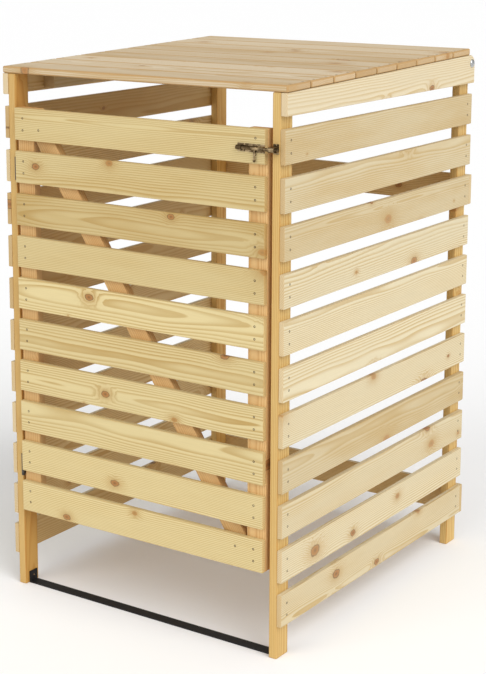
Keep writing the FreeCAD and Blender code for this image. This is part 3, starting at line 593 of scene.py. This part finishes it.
def pine(slot):
    """The pine material of a record's slot."""
    timber = bpy.context.scene.store_timber
    pale, dark = PINE_FINISHES[slot]
    # the lid boards get the stronger painted highlight on their eased edges
    values = {"Early wood": opaque(getattr(timber, pale)), "Late wood": opaque(getattr(timber, dark)),
              "Knot": opaque(timber.knot), "Ring spacing": timber.ring_spacing,
              "Knot spacing": timber.knot_spacing, "Knot size": timber.knot_size,
              "Edge highlight": timber.joint_highlight if slot == "lid_pine" else timber.edge_highlight}
    return dressed_material(slot, pine_log(), values, 0.0, 0.0005)


# slot: rubbed and aged colours, patch size, age, smooth and coarse roughness, metallic, relief
METAL_FINISHES = {
    "latch_brass": ("brass", "brass_aged", 0.02, 0.55, 0.16, 0.34, 1.0, 0.00002),
    "zinc_steel": ("zinc", "zinc_aged", 0.003, 0.45, 0.28, 0.55, 1.0, 0.00008),
    "black_steel": ("black", "black_aged", 0.02, 0.40, 0.55, 0.80, 0.0, 0.0001),
    "hinge_steel": ("dark_steel", "dark_steel_aged", 0.006, 0.42, 0.35, 0.60, 0.6, 0.0001),
    "nail_steel": ("nail", "nail_aged", 0.004, 0.55, 0.45, 0.70, 0.8, 0.00005),
    "screw_steel": ("brass", "brass_aged", 0.006, 0.50, 0.28, 0.50, 1.0, 0.00003),
}


def metal(slot):
    """The metal material of a record's slot."""
    fittings = bpy.context.scene.store_fittings
    rubbed, aged, patch, age, smooth, coarse, metallic, relief = METAL_FINISHES[slot]
    values = {"Rubbed": opaque(getattr(fittings, rubbed)), "Aged": opaque(getattr(fittings, aged)),
              "Patch size": patch, "Age": age, "Smooth": smooth, "Coarse": coarse}
    return dressed_material(slot, metal_skin(), values, metallic, relief)


# ---------------------------------------------------------------- boards


def long_axis(extent):
    """The number of the longest side of a box."""
    return max(range(3), key=lambda axis: extent[axis])


def sawn_board(extent, ease):
    """A board pattern about the origin, cut into short lengths, with eased edges."""
    deselect_all()
    bpy.ops.mesh.primitive_cube_add(size=1.0)
    board = bpy.context.object
    board.scale = extent
    settle(board)
    along = long_axis(extent)
    pick(board, "EDGE", lambda edge: abs(
        board.data.vertices[edge.vertices[0]].co[along]
        - board.data.vertices[edge.vertices[1]].co[along]) > extent[along] / 2)
    bpy.ops.mesh.subdivide(number_cuts=5)
    ease_edges(board, ease)
    return board


def mark_grain(board, seed, inside=None):
    """Cuts a board from the log: along, across and inward coordinates, and its marked faces."""
    chance = random.Random(seed)
    mesh = board.data
    low = [min(v.co[axis] for v in mesh.vertices) for axis in range(3)]
    high = [max(v.co[axis] for v in mesh.vertices) for axis in range(3)]
    order = sorted(range(3), key=lambda axis: low[axis] - high[axis])
    start = (chance.uniform(0, LOG_LENGTH), chance.uniform(-0.06, 0.06), chance.uniform(0.012, 0.08))
    turn = chance.choice((-1, 1))
    grain = mesh.attributes.new("grain", "FLOAT_VECTOR", "POINT")
    for vertex, value in zip(mesh.vertices, grain.data):
        value.vector = [start[i] + vertex.co[order[i]] * (turn if i == 2 else 1) for i in range(3)]
    tone = mesh.attributes.new("board_tone", "FLOAT", "POINT")
    shade = chance.random()
    for value in tone.data:
        value.value = shade
    ends = mesh.attributes.new("end_grain", "FLOAT", "FACE")
    eased = mesh.attributes.new("eased", "FLOAT", "FACE")
    rough = mesh.attributes.new("inside_painted_shade", "FLOAT", "FACE")
    for face in mesh.polygons:
        ends.data[face.index].value = float(abs(face.normal[order[0]]) > 0.9)
        eased.data[face.index].value = float(max(abs(part) for part in face.normal) < 0.97)
        # the inner faces of upright boards are marked for painted shade
        rough.data[face.index].value = float(inside is not None and face.normal.dot(inside) > 0.9)


def way_inside(middle, board):
    """The way that the inner face of an upright board looks, or None for a lying one or a post."""
    extent = board.dimensions
    thin = min(range(3), key=lambda axis: extent[axis])
    if thin == 2 or extent[thin] > THICKEST_BOARD:
        return None
    way = Vector((0, 0, 0))
    way[thin] = -math.copysign(1.0, middle[thin])
    return way


def place_board(board, middle, slope, node, name, seed):
    """Cuts a board from the log, sets it in its place and hands it over."""
    mark_grain(board, seed, way_inside(middle, board))
    board.location = middle
    board.rotation_euler = (slope, 0, 0)
    settle(board)
    hand_over(board, pine, node)
    board.name = name
    board.data.name = name


def boards_like(nodes, ease, seed):
    """Square-sawn boards of one size: one pattern, copied to the place of each node."""
    pattern = sawn_board(middle_and_extent(nodes[0])[1], ease)
    for number, node in enumerate(nodes):
        middle = middle_and_extent(node)[0]
        place_board(twin(pattern, node + "_board"), middle, 0.0, node, node + "_board", seed + number)
    discard(pattern)


def lid_slope():
    """The fall of the lid, from the direction that its boards face."""
    faces = frame["nodes"]["lid_boards"].data.polygons
    top = max(faces, key=lambda face: (round(face.normal.z, 4), face.area))
    return math.atan2(-top.normal.y, top.normal.z)


class BINSTORE_OT_posts(bpy.types.Operator):
    """Builds the four posts with planed, rounded edges"""
    bl_idname = "binstore.posts"
    bl_label = "Posts"

    def execute(self, context):
        ease = context.scene.store_timber.post_ease
        boards_like([f"post_front_{side}" for side in SIDES], ease, SEEDS["front posts"])
        boards_like([f"post_rear_{side}" for side in SIDES], ease, SEEDS["rear posts"])
        return {"FINISHED"}


class BINSTORE_OT_side_boards(bpy.types.Operator):
    """Builds the boards of both sides and the two boards across the back"""
    bl_idname = "binstore.side_boards"
    bl_label = "Side and rear boards"

    def execute(self, context):
        ease = context.scene.store_timber.edge_ease
        slats = sorted(node for node in frame["nodes"] if node.startswith("side_slat_"))
        boards_like(slats, ease, SEEDS["sides"])
        boards_like(["rear_board_upper", "rear_board_lower"], ease, SEEDS["rear boards"])
        return {"FINISHED"}


class BINSTORE_OT_door_boards(bpy.types.Operator):
    """Builds the boards, upright ledges and brace of the door"""
    bl_idname = "binstore.door_boards"
    bl_label = "Door boards"

    def execute(self, context):
        ease = context.scene.store_timber.edge_ease
        slats = sorted(node for node in frame["nodes"] if node.startswith("door_slat_"))
        boards_like(slats, ease, SEEDS["door boards"])
        boards_like(["door_ledge_hinge_side", "door_ledge_latch_side"], ease, SEEDS["door ledges"])
        self.brace(ease)
        return {"FINISHED"}

    def brace(self, ease):
        """A slanting board, its ends sawn to fit the corners of the ledges."""
        low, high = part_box("door_brace")
        near = 1e-4
        corners = [vertex.co for vertex in frame["nodes"]["door_brace"].data.vertices]
        nose = max(co.x for co in corners if co.z > high.z - near) - low.x
        cheek = high.z - min(co.z for co in corners if co.x < low.x + near)
        run, rise = high.x - low.x - nose, high.z - low.z - cheek
        lean = math.atan2(rise, run)
        width = (cheek + nose * rise / run) * math.cos(lean)
        whole = math.hypot(high.x - low.x, high.z - low.z) + width
        board = sawn_board(Vector((whole, high.y - low.y, width)), ease)
        mark_grain(board, SEEDS["brace"])
        board.rotation_euler = (0, lean, 0)
        board.location = (low + high) / 2
        settle(board)
        for point, facing in ((low, -X_WAY), (high, X_WAY), (low, -Z_WAY), (high, Z_WAY)):
            select_only(board)
            bpy.ops.object.mode_set(mode="EDIT")
            bpy.ops.mesh.select_all(action="SELECT")
            bpy.ops.mesh.bisect(plane_co=point, plane_no=facing, use_fill=True, clear_outer=True)
            bpy.ops.object.mode_set(mode="OBJECT")
        ends = board.data.attributes["end_grain"]
        for face in board.data.polygons:
            ends.data[face.index].value = float(max(abs(face.normal.x), abs(face.normal.z)) > 0.999)
        hand_over(board, pine, "door_brace")
        board.name = "door_brace_board"


class BINSTORE_OT_lid_boards(bpy.types.Operator):
    """Builds the boards of the lid, its battens and its tapered aprons"""
    bl_idname = "binstore.lid_boards"
    bl_label = "Lid boards"

    def execute(self, context):
        timber = context.scene.store_timber
        self.top_boards(timber)
        slope = lid_slope()
        for side in SIDES:
            node = f"lid_batten_{side}"
            middle, extent = middle_and_extent(node)
            along = (extent.y * math.cos(slope) - extent.z * math.sin(slope)) / math.cos(2 * slope)
            deep = (extent.z * math.cos(slope) - extent.y * math.sin(slope)) / math.cos(2 * slope)
            board = sawn_board(Vector((extent.x, along, deep)), timber.edge_ease)
            place_board(board, middle, slope, node, node + "_board", SEEDS["battens"] + len(side))
            self.apron(f"lid_apron_{side}", timber, SEEDS["aprons"] + len(side))
        return {"FINISHED"}

    def top_boards(self, timber):
        """One board, copied down the slope of the lid."""
        slope, thick = lid_slope(), timber.lid_thickness
        low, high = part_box("lid_boards")
        reach = (high.y - low.y - thick * math.sin(slope)) / math.cos(slope)
        rows = sorted({round(v.co.y * math.cos(slope) + v.co.z * math.sin(slope), 5)
                       for v in frame["nodes"]["lid_boards"].data.vertices})
        gap = min(b - a for a, b in zip(rows, rows[1:]))
        wide = (reach - (LID_BOARDS - 1) * gap) / LID_BOARDS
        pattern = sawn_board(Vector((high.x - low.x, wide, thick)), timber.lid_ease)
        down = Vector((0, math.cos(slope), math.sin(slope)))
        centre = (low + high) / 2
        for row in range(LID_BOARDS):
            middle = centre + down * ((row - (LID_BOARDS - 1) / 2) * (wide + gap))
            name = f"lid_board_{row + 1}"
            place_board(twin(pattern, name), middle, slope, "lid_boards", name, SEEDS["lid boards"] + row)
        discard(pattern)

    def apron(self, node, timber, seed):
        """A tapered board with one rounded corner."""
        middle, extent = middle_and_extent(node)
        drop = extent.y * math.tan(lid_slope())
        deselect_all()
        bpy.ops.mesh.primitive_cube_add(size=1.0)
        board = bpy.context.object
        board.scale = extent
        settle(board)
        pick(board, "VERT", lambda vertex: vertex.co.y < 0 and vertex.co.z > 0)
        bpy.ops.transform.translate(value=(0, 0, -drop))
        bpy.ops.object.mode_set(mode="OBJECT")
        ends = [vertex.index for vertex in board.data.vertices if vertex.co.y > 0 and vertex.co.z > 0]
        pick(board, "EDGE", lambda edge: all(index in ends for index in edge.vertices))
        bpy.ops.mesh.bevel(offset=timber.apron_corner, segments=8, affect="EDGES")
        bpy.ops.object.mode_set(mode="OBJECT")
        ease_edges(board, timber.edge_ease, angle=math.radians(40))
        place_board(board, middle, 0.0, node, node + "_board", seed)


# ---------------------------------------------------------------- fittings


def merged_copy(node):
    """A copy of a working part's mesh, merged into whole flat faces."""
    piece = twin(frame["nodes"][node], node + "_fitting")
    piece.parent = None
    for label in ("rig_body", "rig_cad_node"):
        if label in piece:
            del piece[label]
    select_only(piece)
    bpy.ops.object.mode_set(mode="EDIT")
    bpy.ops.mesh.select_all(action="SELECT")
    bpy.ops.mesh.remove_doubles(threshold=1e-6)
    bpy.ops.mesh.dissolve_limited(angle_limit=math.radians(0.5))
    bpy.ops.object.mode_set(mode="OBJECT")
    return piece


def bevelled_fitting(node, ease):
    """A working part with its sharp edges rounded."""
    piece = merged_copy(node)
    ease_edges(piece, ease)
    hand_over(piece, metal, node)


def turned(profile, place, way, sides=24):
    """A round piece turned to a profile of distances and radii from a place along a way."""
    deselect_all()
    first, radius = profile[0]
    bpy.ops.mesh.primitive_circle_add(vertices=sides, radius=radius, fill_type="NGON",
                                      location=(0, 0, first))
    piece = bpy.context.object
    bpy.ops.object.mode_set(mode="EDIT")
    bpy.ops.mesh.select_all(action="SELECT")
    for far, wide in profile[1:]:
        bpy.ops.mesh.extrude_region_move(TRANSFORM_OT_translate={"value": (0, 0, far - first)})
        grow = wide / radius
        bpy.ops.transform.resize(value=(grow, grow, 1), center_override=(0, 0, far))
        first, radius = far, wide
    bpy.ops.mesh.select_all(action="SELECT")
    bpy.ops.mesh.normals_make_consistent(inside=False)
    bpy.ops.object.mode_set(mode="OBJECT")
    select_only(piece)
    bpy.ops.object.transform_apply(location=True)
    bpy.ops.object.shade_smooth_by_angle(angle=math.radians(35))
    piece.matrix_world = Matrix.Translation(place) @ way.to_track_quat("Z", "Y").to_matrix().to_4x4()
    settle(piece)
    return piece


def loose_solids(node):
    """The corner points of each separate solid of a node."""
    mesh = frame["nodes"][node].data
    spots = {}
    owner = []

    def root(index):
        while owner[index] != index:
            owner[index] = owner[owner[index]]
            index = owner[index]
        return index

    numbers = []
    for vertex in mesh.vertices:
        key = tuple(round(part, 6) for part in vertex.co)
        if key not in spots:
            spots[key] = len(owner)
            owner.append(len(owner))
        numbers.append(spots[key])
    for face in mesh.polygons:
        first = root(numbers[face.vertices[0]])
        for index in face.vertices[1:]:
            owner[root(numbers[index])] = first
    solids = {}
    for key, number in spots.items():
        solids.setdefault(root(number), []).append(Vector(key))
    return sorted(solids.values(), key=lambda points: tuple(round(p, 4) for p in min(points, key=tuple)))


def head_of(points):
    """Where a nail or screw meets the surface: the middle of its head's top, and its facing."""
    extent = [max(p[axis] for p in points) - min(p[axis] for p in points) for axis in range(3)]
    axis = long_axis(extent)
    near = extent[axis] * 0.02
    ends = []
    for side in (min, max):
        limit = side(p[axis] for p in points)
        ring = [p for p in points if abs(p[axis] - limit) < near]
        middle = sum(ring, Vector()) / len(ring)
        ends.append((max((p - middle).length for p in ring), middle))
    shank_radius = min(ends, key=lambda end: end[0])[0]
    tip, top = sorted(ends, key=lambda end: sum(
        (p - end[1]).length < extent[axis] / 4 and (p - end[1]).length > shank_radius * 1.25
        for p in points))
    return top[1], (top[1] - tip[1]).normalized()


def heads_at(node, pattern, name):
    """Copies a head pattern to every nail or screw of a node and joins the copies."""
    copies = []
    for number, points in enumerate(loose_solids(node)):
        place, way = head_of(points)
        copy = twin(pattern, f"{name}_{number}")
        spin = Matrix.Rotation(random.Random(number).uniform(0, math.pi), 4, "Z")
        copy.matrix_world = (Matrix.Translation(place)
                             @ way.to_track_quat("Z", "Y").to_matrix().to_4x4() @ spin)
        settle(copy)
        copies.append(copy)
    hand_over(join(copies, name), metal, node)


class BINSTORE_OT_nails(bpy.types.Operator):
    """Builds a dished head for every nail"""
    bl_idname = "binstore.nails"
    bl_label = "Nails"

    def execute(self, context):
        fittings = context.scene.store_fittings
        dish, radius, buried = fittings.nail_dish, fittings.nail_radius, fittings.nail_buried
        pattern = turned(((-buried, radius * 0.5), (-dish * 2, radius * 0.94), (-dish, radius),
                          (-dish * 0.3, radius * 0.93), (0, radius * 0.78), (-dish, radius * 0.3)),
                         Vector(), Z_WAY, 14)
        for node in ("frame_nails", "door_nails", "lid_nails"):
            heads_at(node, pattern, node + "_heads")
        discard(pattern)
        return {"FINISHED"}


class BINSTORE_OT_screws(bpy.types.Operator):
    """Builds a domed, cross-slotted head for every screw"""
    bl_idname = "binstore.screws"
    bl_label = "Screws"

    def execute(self, context):
        fittings = context.scene.store_fittings
        depth, radius, height = fittings.slot_depth, fittings.screw_radius, fittings.screw_height
        pattern = turned(((-height * 1.6, radius * 0.55), (-height, radius), (-height * 0.72, radius),
                          (-height * 0.36, radius * 0.85), (-height * 0.12, radius * 0.6),
                          (0, radius * 0.3)), Vector(), Z_WAY, 20)
        for quarter in (0, math.pi / 2):
            deselect_all()
            bpy.ops.mesh.primitive_cube_add(size=1.0, rotation=(0, 0, quarter))
            blade = bpy.context.object
            blade.scale = (radius * 1.25, radius * 0.26, depth * 2)
            settle(blade)
            use_modifier(pattern, "BOOLEAN", operation="DIFFERENCE", object=blade, solver="EXACT")
            discard(blade)
        for node in ("frame_screws", "door_screws"):
            heads_at(node, pattern, node + "_heads")
        discard(pattern)
        return {"FINISHED"}


class BINSTORE_OT_hinges(bpy.types.Operator):
    """Finishes the leaves and pins of the two butt hinges"""
    bl_idname = "binstore.hinges"
    bl_label = "Hinges"

    def execute(self, context):
        ease = context.scene.store_fittings.sheet_ease
        for node in ("hinge_post_leaves", "hinge_door_leaves", "hinge_pins"):
            bevelled_fitting(node, ease)
        return {"FINISHED"}


class BINSTORE_OT_barrel_bolt(bpy.types.Operator):
    """Builds the plate, straps, turned rod, lever and keep of the barrel bolt"""
    bl_idname = "binstore.barrel_bolt"
    bl_label = "Barrel bolt"

    def execute(self, context):
        fittings = context.scene.store_fittings
        for node in ("latch_plate", "latch_keep"):
            bevelled_fitting(node, fittings.sheet_ease)
        low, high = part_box("latch_bolt")
        radius, step = fittings.rod_radius, fittings.rod_step
        axis_z, axis_y = high.z - radius, (low.y + high.y) / 2
        span, groove = high.x - low.x, radius * 0.86
        lever_x = self.lever_place(axis_z - radius)
        at = lever_x - low.x
        profile = [(0, radius * 0.55), (0.0005, radius * 0.85), (step, radius), (3 * step, radius),
                   (3.4 * step, groove), (4 * step, groove), (4.4 * step, radius)]
        for offset in (-5 * step, 4.4 * step):
            profile += [(at + offset - step, radius), (at + offset - 0.7 * step, groove),
                        (at + offset, groove), (at + offset + 0.3 * step, radius)]
        profile += [(span - 2 * step, radius), (span - step, radius * 0.9), (span, radius * 0.5)]
        rod = turned(profile, Vector((low.x, axis_y, axis_z)), X_WAY, 32)
        drop = axis_z - low.z
        knob, neck = fittings.knob_radius, fittings.neck_radius
        stem = turned(((0, neck), (drop * 0.3, neck * 0.92), (drop * 0.62, neck * 0.72),
                       (drop * 0.72, neck * 0.8), (drop - knob * 1.7, knob * 0.85),
                       (drop - knob, knob), (drop - knob * 0.5, knob * 0.9), (drop, knob * 0.45)),
                      Vector((lever_x, axis_y, axis_z)), -Z_WAY, 20)
        hand_over(join([rod, stem], "latch_bolt_rod"), metal, "latch_bolt")
        return {"FINISHED"}

    def lever_place(self, below):
        """Where the lever hangs, from the points below the rod."""
        hanging = [v.co.x for v in frame["nodes"]["latch_bolt"].data.vertices if v.co.z < below - 0.001]
        return (min(hanging) + max(hanging)) / 2


class BINSTORE_OT_lid_pivots(bpy.types.Operator):
    """Builds the domed bolts that the lid turns on, and their nuts"""
    bl_idname = "binstore.lid_pivots"
    bl_label = "Lid pivots"

    def execute(self, context):
        fittings = context.scene.store_fittings
        head, shank = fittings.dome_height, fittings.shank_radius
        bolts = []
        for points in loose_solids("lid_pivot_bolts"):
            low = Vector([min(p[axis] for p in points) for axis in range(3)])
            high = Vector([max(p[axis] for p in points) for axis in range(3)])
            middle, radius = (low + high) / 2, (high.z - low.z) / 2
            outward = math.copysign(1, middle.x)
            tip_x = low.x if outward > 0 else high.x
            whole = high.x - low.x
            start = Vector((tip_x, middle.y, middle.z))
            face = whole - head
            bolts.append(turned(((0, shank * 0.8), (0.0008, shank), (face - 0.0002, shank),
                                 (face, radius), (face + head * 0.2, radius),
                                 (face + head * 0.55, radius * 0.87), (face + head * 0.85, radius * 0.6),
                                 (whole, radius * 0.22)), start, X_WAY * outward, 28))
        hand_over(join(bolts, "lid_pivot_bolts_turned"), metal, "lid_pivot_bolts")
        bevelled_fitting("lid_pivot_nuts", fittings.nut_ease)
        return {"FINISHED"}


class BINSTORE_OT_tie_bar(bpy.types.Operator):
    """Finishes the painted flat bar between the front posts"""
    bl_idname = "binstore.tie_bar"
    bl_label = "Tie bar"

    def execute(self, context):
        bevelled_fitting("tie_bar", context.scene.store_fittings.bar_ease)
        return {"FINISHED"}


# ---------------------------------------------------------------- stage


class BINSTORE_OT_stage(bpy.types.Operator):
    """Builds the floor, the soft lights and the camera"""
    bl_idname = "binstore.stage"
    bl_label = "Stage"

    def execute(self, context):
        stage = context.scene.store_stage
        self.floor(stage)
        self.sky(context.scene, stage)
        self.light("key_light", KEY_LIGHT_PLACE, stage.softness, stage.key_power)
        self.light("front_light", FRONT_LIGHT_PLACE, stage.softness, stage.front_power)
        self.camera(context.scene, stage)
        context.scene.view_settings.view_transform = "Standard"
        return {"FINISHED"}

    def floor(self, stage):
        """A plain pale floor."""
        deselect_all()
        bpy.ops.mesh.primitive_plane_add(size=stage.floor_size)
        floor = bpy.context.object
        floor.name = "floor"
        material = bpy.data.materials.new("floor")
        material.use_nodes = True
        shader = material.node_tree.nodes["Principled BSDF"]
        shader.inputs["Base Color"].default_value = opaque(stage.floor)
        shader.inputs["Roughness"].default_value = 0.9
        shader.inputs["Specular IOR Level"].default_value = 0.1
        floor.data.materials.append(material)

    def sky(self, scene, stage):
        """Even light all round."""
        world = bpy.data.worlds.new("studio")
        world.use_nodes = True
        back = world.node_tree.nodes["Background"]
        back.inputs["Color"].default_value = (1.0, 1.0, 1.0, 1.0)
        back.inputs["Strength"].default_value = stage.sky
        scene.world = world

    def light(self, name, place, softness, strength):
        """One broad soft light, aimed at the store."""
        deselect_all()
        bpy.ops.object.light_add(type="SUN", location=place)
        light = bpy.context.object
        light.name = name
        light.data.angle = softness
        light.data.energy = strength
        light.rotation_euler = Vector(place).to_track_quat("Z", "Y").to_euler()

    def camera(self, scene, stage):
        """The camera, at a standing person's height in front of the right corner."""
        deselect_all()
        bpy.ops.object.camera_add(location=stage.camera_place,
                                  rotation=(math.pi / 2 + stage.pitch, 0, stage.azimuth))
        camera = bpy.context.object
        camera.name = "camera"
        camera.data.lens = stage.lens
        camera.data.shift_x, camera.data.shift_y = stage.shift
        scene.camera = camera


OPERATORS = (
    BINSTORE_OT_posts, BINSTORE_OT_side_boards, BINSTORE_OT_door_boards, BINSTORE_OT_lid_boards,
    BINSTORE_OT_nails, BINSTORE_OT_screws, BINSTORE_OT_hinges, BINSTORE_OT_barrel_bolt,
    BINSTORE_OT_lid_pivots, BINSTORE_OT_tie_bar, BINSTORE_OT_stage,
)
SETTINGS = {"store_timber": TimberSettings, "store_fittings": FittingSettings,
            "store_stage": StageSettings}


class BINSTORE_PT_panel(bpy.types.Panel):
    """Lists the steps that build the store"""
    bl_idname = "BINSTORE_PT_panel"
    bl_label = "Bin store"
    bl_space_type = "VIEW_3D"
    bl_region_type = "UI"
    bl_category = "Bin store"

    def draw(self, context):
        for operator in OPERATORS:
            self.layout.operator(operator.bl_idname)
        for label, group in SETTINGS.items():
            settings = getattr(context.scene, label)
            for name in group.__annotations__:
                self.layout.prop(settings, name)


def register():
    """Registers the settings, the steps and the panel."""
    for label, group in SETTINGS.items():
        bpy.utils.register_class(group)
        setattr(bpy.types.Scene, label, PointerProperty(type=group))
    for entry in (*OPERATORS, BINSTORE_PT_panel):
        bpy.utils.register_class(entry)


def unregister():
    """Takes everything back in the opposite order."""
    for entry in reversed((*OPERATORS, BINSTORE_PT_panel)):
        bpy.utils.unregister_class(entry)
    for label, group in SETTINGS.items():
        delattr(bpy.types.Scene, label)
        bpy.utils.unregister_class(group)


def main():
    """Builds everything in order."""
    register()
    for operator in OPERATORS:
        group, name = operator.bl_idname.split(".")
        getattr(getattr(bpy.ops, group), name)()


if __name__ == "__main__":
    main()
